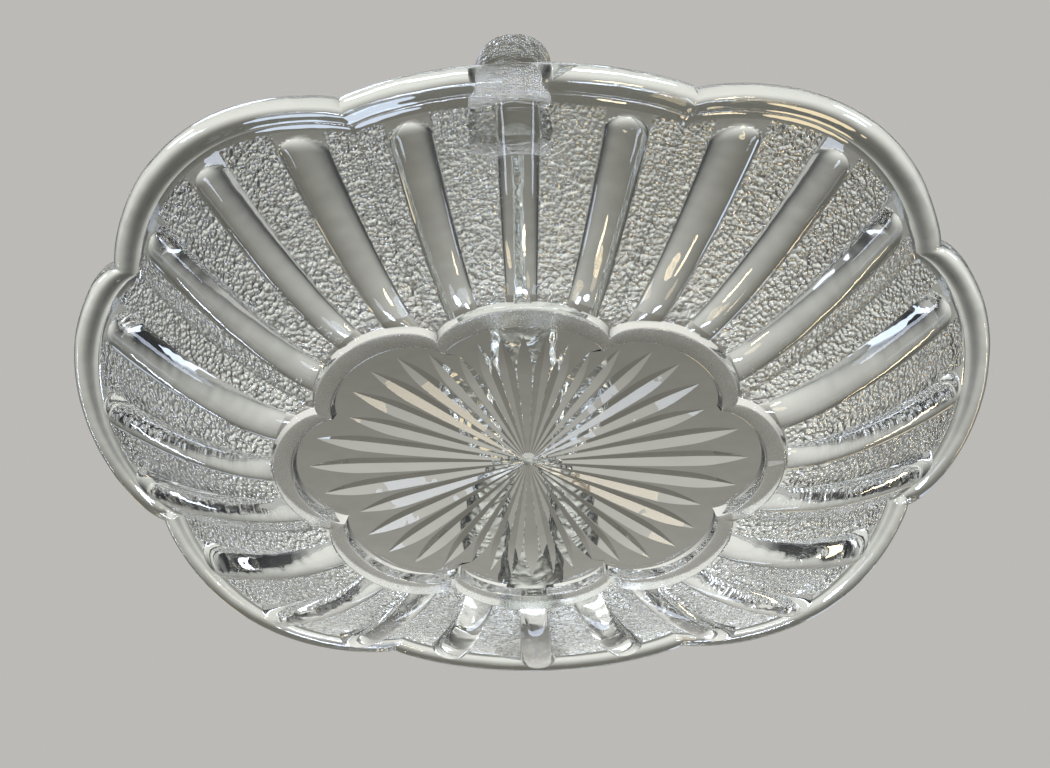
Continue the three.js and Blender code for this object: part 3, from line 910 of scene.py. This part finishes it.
class BASKET_OT_arched_handle(bpy.types.Operator):
    """Build the arch across the short axis and trim its legs to the bowl"""

    bl_idname = "basket.arched_handle"
    bl_label = "Arched Handle"

    def arch_sections(self, size, rim_height):
        """Sections along the arch. The first and the last are the feet of its legs, straight below it."""
        span, rise = size.span / 2 - size.dome, size.top - size.dome - rim_height
        sections = []
        travelled, before = 0.0, None
        for i in range(-1, HANDLE_STEPS + 2):
            angle = math.pi * min(max(i, 0), HANDLE_STEPS) / HANDLE_STEPS
            drop = size.leg_depth if i in (-1, HANDLE_STEPS + 1) else 0.0
            cosine, sine = math.cos(angle), max(0.0, math.sin(angle))
            stretch = (abs(cosine) ** ARCH_FULLNESS + sine ** ARCH_FULLNESS) ** (-1 / ARCH_FULLNESS)
            across, up = cosine * stretch, sine * stretch
            centre = Vector((HANDLE_OFFSET, -span * across, rim_height + rise * up - drop))
            steep = math.copysign(abs(across) ** (ARCH_FULLNESS - 1), -across) / span
            out = Vector((0, steep, up ** (ARCH_FULLNESS - 1) / rise)).normalized()
            travelled += (centre - before).length if before else 0.0
            before = centre
            above = centre.z - rim_height
            flare = size.root_flare * (1 - min(1.0, max(0.0, above / size.root_reach))) ** 2
            skin = HandleSkin(size, travelled, smooth((above - SKIN_START) / SKIN_FADE))
            points = handle_profile(size, skin, flare)
            sections.append([Vector((x, 0, 0)) + centre + out * y for x, y in points])
        return sections

    def bowl_cutter(self, bowl, side, materials):
        """The bowl's inner face and the top of its lip near one root, closed well outside the bowl."""
        reach = bowl.size.rib_top_width * CUTTER_REACH_SHARE
        columns = bowl.columns
        half = len(columns) // 2
        sections = []
        for i in range(-half // 2, half // 2):
            column = columns[(i + side * half) % len(columns)]
            if abs(bowl.inner_point(column, 1).x) >= reach:
                continue
            inner = [bowl.inner_point(column, row / INNER_ROWS)
                     for row in range(CUTTER_FIRST_ROW, INNER_ROWS + 1)]
            lip = bowl.lip_points(column)[::-1][1:LIP_TOP_ROWS + LIP_EDGE_ROWS + 1]
            out = (lip[-1] - lip[0]).to_2d().normalized().to_3d()
            far = lip[-1] + out * CUTTER_OVERRUN
            low = Vector((0, 0, -CUTTER_OVERRUN))
            sections.append(inner + lip + [far, far + low * 2, inner[0] + low])
        bm = bmesh.new()
        rows = sweep_sections(bm, sections, closed=False)
        cap_ends(bm, rows, JOINT)
        bmesh.ops.recalc_face_normals(bm, faces=bm.faces)
        for face in bm.faces:
            face.material_index = JOINT
        return mesh_object(bm, "bowl_cutter", materials)

    def execute(self, context):
        scene = context.scene
        bowl, size = Bowl(scene), scene.basket_handle
        materials = glass_materials(scene)
        bm = bmesh.new()
        rows = sweep_sections(bm, self.arch_sections(size, scene.basket_bowl.side_height), closed=False)
        cap_ends(bm, rows, SURFACE)
        bmesh.ops.recalc_face_normals(bm, faces=bm.faces)
        handle = mesh_object(bm, "untrimmed_handle", materials)
        cutters = [self.bowl_cutter(bowl, side, materials) for side in (0, 1)]
        for cutter in cutters:
            trim = handle.modifiers.new("trim", "BOOLEAN")
            trim.operation, trim.solver, trim.object = "DIFFERENCE", "EXACT", cutter
            trim.material_mode = "TRANSFER"
        trimmed = bpy.data.meshes.new_from_object(handle.evaluated_get(context.evaluated_depsgraph_get()))
        for helper in [handle] + cutters:
            bpy.data.objects.remove(helper)
        if not trimmed.polygons:
            raise RuntimeError("the handle was lost when it was trimmed to the bowl")
        bm = bmesh.new()
        bm.from_mesh(trimmed)
        bpy.data.meshes.remove(trimmed)
        finish_piece(bm, "arched_handle_glass", ["arched_handle"], materials)
        return {"FINISHED"}


def rest_camera():
    """Camera at the photograph's angle: under the basket, which shows its foot and its outside."""
    azimuth, elevation, roll = (math.radians(a) for a in (VIEW_AZIMUTH, VIEW_ELEVATION, VIEW_ROLL))
    back = Vector((math.sin(azimuth) * math.cos(elevation), -math.cos(azimuth) * math.cos(elevation),
                   math.sin(elevation)))
    right = Vector((0, 0, 1)).cross(back).normalized()
    up = back.cross(right)
    turned_right = right * math.cos(roll) + up * math.sin(roll)
    turned_up = up * math.cos(roll) - right * math.sin(roll)
    camera_data = bpy.data.cameras.new("camera")
    camera_data.sensor_width, camera_data.lens = SENSOR_WIDTH, VIEW_LENS
    camera_data.clip_start = VIEW_START
    camera = link_object("camera", camera_data)
    camera.matrix_world = (Matrix.Translation(Vector(VIEW_TARGET) + back * VIEW_DISTANCE)
                           @ Matrix((turned_right, turned_up, back)).transposed().to_4x4())
    bpy.context.scene.camera = camera


def soft_lamp(name, colour_hex, direction, distance, width, height, radiance, through_glass=True,
              on_floor=False):
    """An oval soft box that faces the basket. Its power follows from its radiance and its size."""
    data = bpy.data.lights.new(name, "AREA")
    data.shape, data.size, data.size_y = "ELLIPSE", width, height
    data.color = linear(colour_hex)[:3]
    data.energy = radiance * math.pi * math.pi / 4 * width * height
    lamp = link_object(name, data)
    towards = Vector(direction).normalized()
    lamp.matrix_world = (Matrix.Translation(towards * distance + LAMP_AIM)
                         @ towards.to_track_quat("Z", "Y").to_matrix().to_4x4())
    lamp.visible_camera = False
    lamp.visible_transmission = through_glass
    lamp.visible_diffuse = on_floor


class BASKET_OT_studio(bpy.types.Operator):
    """Set up the pale floor, the surround, the soft lamps and the camera"""

    bl_idname = "basket.studio"
    bl_label = "Studio"

    def build_floor(self, looks):
        # Matt painted board. It lies under the basket for a camera above it, and lets a camera, a lamp or a
        # reflection below it look through, because the photograph shows the underside.
        material, tree = new_material("matt_painted_floor")
        place = add_node(tree, "TexCoord").outputs["Object"]
        paint = add_node(tree, "TexNoise", {"Vector": place, "Scale": 1 / PAINT_GRAIN, "Detail": 2.0})
        grain = add_node(tree, "Bump", {"Height": paint, "Distance": PAINT_GRAIN_HEIGHT, "Strength": 0.5})
        board = add_node(tree, "BsdfPrincipled", {
            "Base Color": linear(looks.backdrop), "Roughness": 0.9, "Specular IOR Level": 0.0,
            "Normal": grain})
        behind = add_node(tree, "NewGeometry").outputs["Backfacing"]
        path = add_node(tree, "LightPath").outputs
        passing = add_node(tree, "Math", {0: behind, 1: path["Is Shadow Ray"]}, operation="MAXIMUM")
        passing = add_node(tree, "Math", {0: passing, 1: path["Glossy Depth"]}, operation="MAXIMUM",
                           use_clamp=True)
        clear = add_node(tree, "BsdfTransparent")
        mixed = add_node(tree, "MixShader", {0: passing, 1: board, 2: clear})
        add_node(tree, "OutputMaterial", {"Surface": mixed})
        bm = bmesh.new()
        bmesh.ops.create_grid(bm, x_segments=1, y_segments=1, size=FLOOR_SIZE / 2)
        floor = mesh_object(bm, "floor", [material])

    def build_surround(self, scene, looks):
        # The camera sees an even pale backdrop. Through the glass it grows lighter towards the foot of the
        # picture and darker towards its top and sides, which gives each facet and rib a tone of its own.
        world = bpy.data.worlds.new("studio_surround")
        scene.world = world
        world.use_nodes = True
        tree = world.node_tree
        tree.nodes.clear()
        backdrop = linear(looks.backdrop)
        direction = add_node(tree, "TexCoord").outputs["Generated"]
        height = add_node(tree, "SeparateXYZ", {"Vector": direction}).outputs["Z"]
        upwards = add_node(tree, "VectorMath", {0: direction, 1: PICTURE_UP}, operation="DOT_PRODUCT")
        rise = add_node(tree, "MapRange", {
            "Value": upwards.outputs["Value"], "From Min": 0.3, "From Max": -0.32},
            interpolation_type="SMOOTHSTEP")
        sideways = add_node(tree, "VectorMath", {0: direction, 1: PICTURE_RIGHT}, operation="DOT_PRODUCT")
        aside = add_node(tree, "Math", {0: sideways.outputs["Value"]}, operation="ABSOLUTE")
        middle = add_node(tree, "MapRange", {"Value": aside, "From Min": 0.7, "From Max": 0.15},
                          interpolation_type="SMOOTHSTEP")
        graded = add_node(tree, "MixRGB", {0: rise, 1: linear(looks.shade), 2: linear(looks.gleam)})
        behind = add_node(tree, "MixRGB", {0: middle, 1: linear(looks.surround), 2: graded})
        below = add_node(tree, "MapRange", {"Value": height, "From Min": -0.05, "From Max": -0.3},
                         interpolation_type="SMOOTHSTEP")
        path = add_node(tree, "LightPath").outputs
        through = add_node(tree, "Math", {0: path["Is Glossy Ray"], 1: path["Is Transmission Ray"]},
                           operation="MAXIMUM")
        in_glass = add_node(tree, "MixRGB", {0: below, 1: behind, 2: backdrop})
        lit = add_node(tree, "MixRGB", {0: through, 1: linear(looks.fill), 2: in_glass})
        tone = add_node(tree, "MixRGB", {0: path["Is Camera Ray"], 1: lit, 2: backdrop})
        light = add_node(tree, "Background", {"Color": tone, "Strength": 1.0})
        add_node(tree, "OutputWorld", {"Surface": light})

    def execute(self, context):
        scene = context.scene
        looks = scene.basket_looks
        self.build_floor(looks)
        self.build_surround(scene, looks)
        for name, colour_name, *settings in LAMPS:
            soft_lamp(name, getattr(looks, colour_name), *settings)
        scene.view_settings.view_transform = "Standard"
        scene.cycles.max_bounces = 32
        scene.cycles.transmission_bounces = 24
        scene.cycles.glossy_bounces = 12
        scene.cycles.transparent_max_bounces = 48
        rest_camera()
        return {"FINISHED"}


class BASKET_PT_panel(bpy.types.Panel):
    """Lists the steps that build the basket"""

    bl_label = "Glass Basket"
    bl_idname = "BASKET_PT_panel"
    bl_space_type = "VIEW_3D"
    bl_region_type = "UI"
    bl_category = "Glass Basket"

    def draw(self, context):
        layout = self.layout
        for name, (group, operators) in STEPS.items():
            box = layout.box()
            settings = getattr(context.scene, name)
            for key in group.__annotations__:
                box.prop(settings, key)
            for operator in operators:
                box.operator(operator.bl_idname)


STEPS = {
    "basket_foot": (BASKET_PG_foot, (BASKET_OT_foot_ring, BASKET_OT_star_base)),
    "basket_bowl": (BASKET_PG_bowl, (BASKET_OT_ribbed_walls, BASKET_OT_scalloped_rim)),
    "basket_handle": (BASKET_PG_handle, (BASKET_OT_arched_handle,)),
    "basket_looks": (BASKET_PG_looks, (BASKET_OT_studio,)),
}


def register():
    for name, (group, operators) in STEPS.items():
        bpy.utils.register_class(group)
        setattr(bpy.types.Scene, name, PointerProperty(type=group))
        for operator in operators:
            bpy.utils.register_class(operator)
    bpy.utils.register_class(BASKET_PT_panel)


def unregister():
    bpy.utils.unregister_class(BASKET_PT_panel)
    for name, (group, operators) in reversed(STEPS.items()):
        for operator in reversed(operators):
            bpy.utils.unregister_class(operator)
        delattr(bpy.types.Scene, name)
        bpy.utils.unregister_class(group)


def main():
    register()
    bpy.ops.basket.foot_ring()
    bpy.ops.basket.star_base()
    bpy.ops.basket.ribbed_walls()
    bpy.ops.basket.scalloped_rim()
    bpy.ops.basket.arched_handle()
    bpy.ops.basket.studio()


if __name__ == "__main__":
    main()
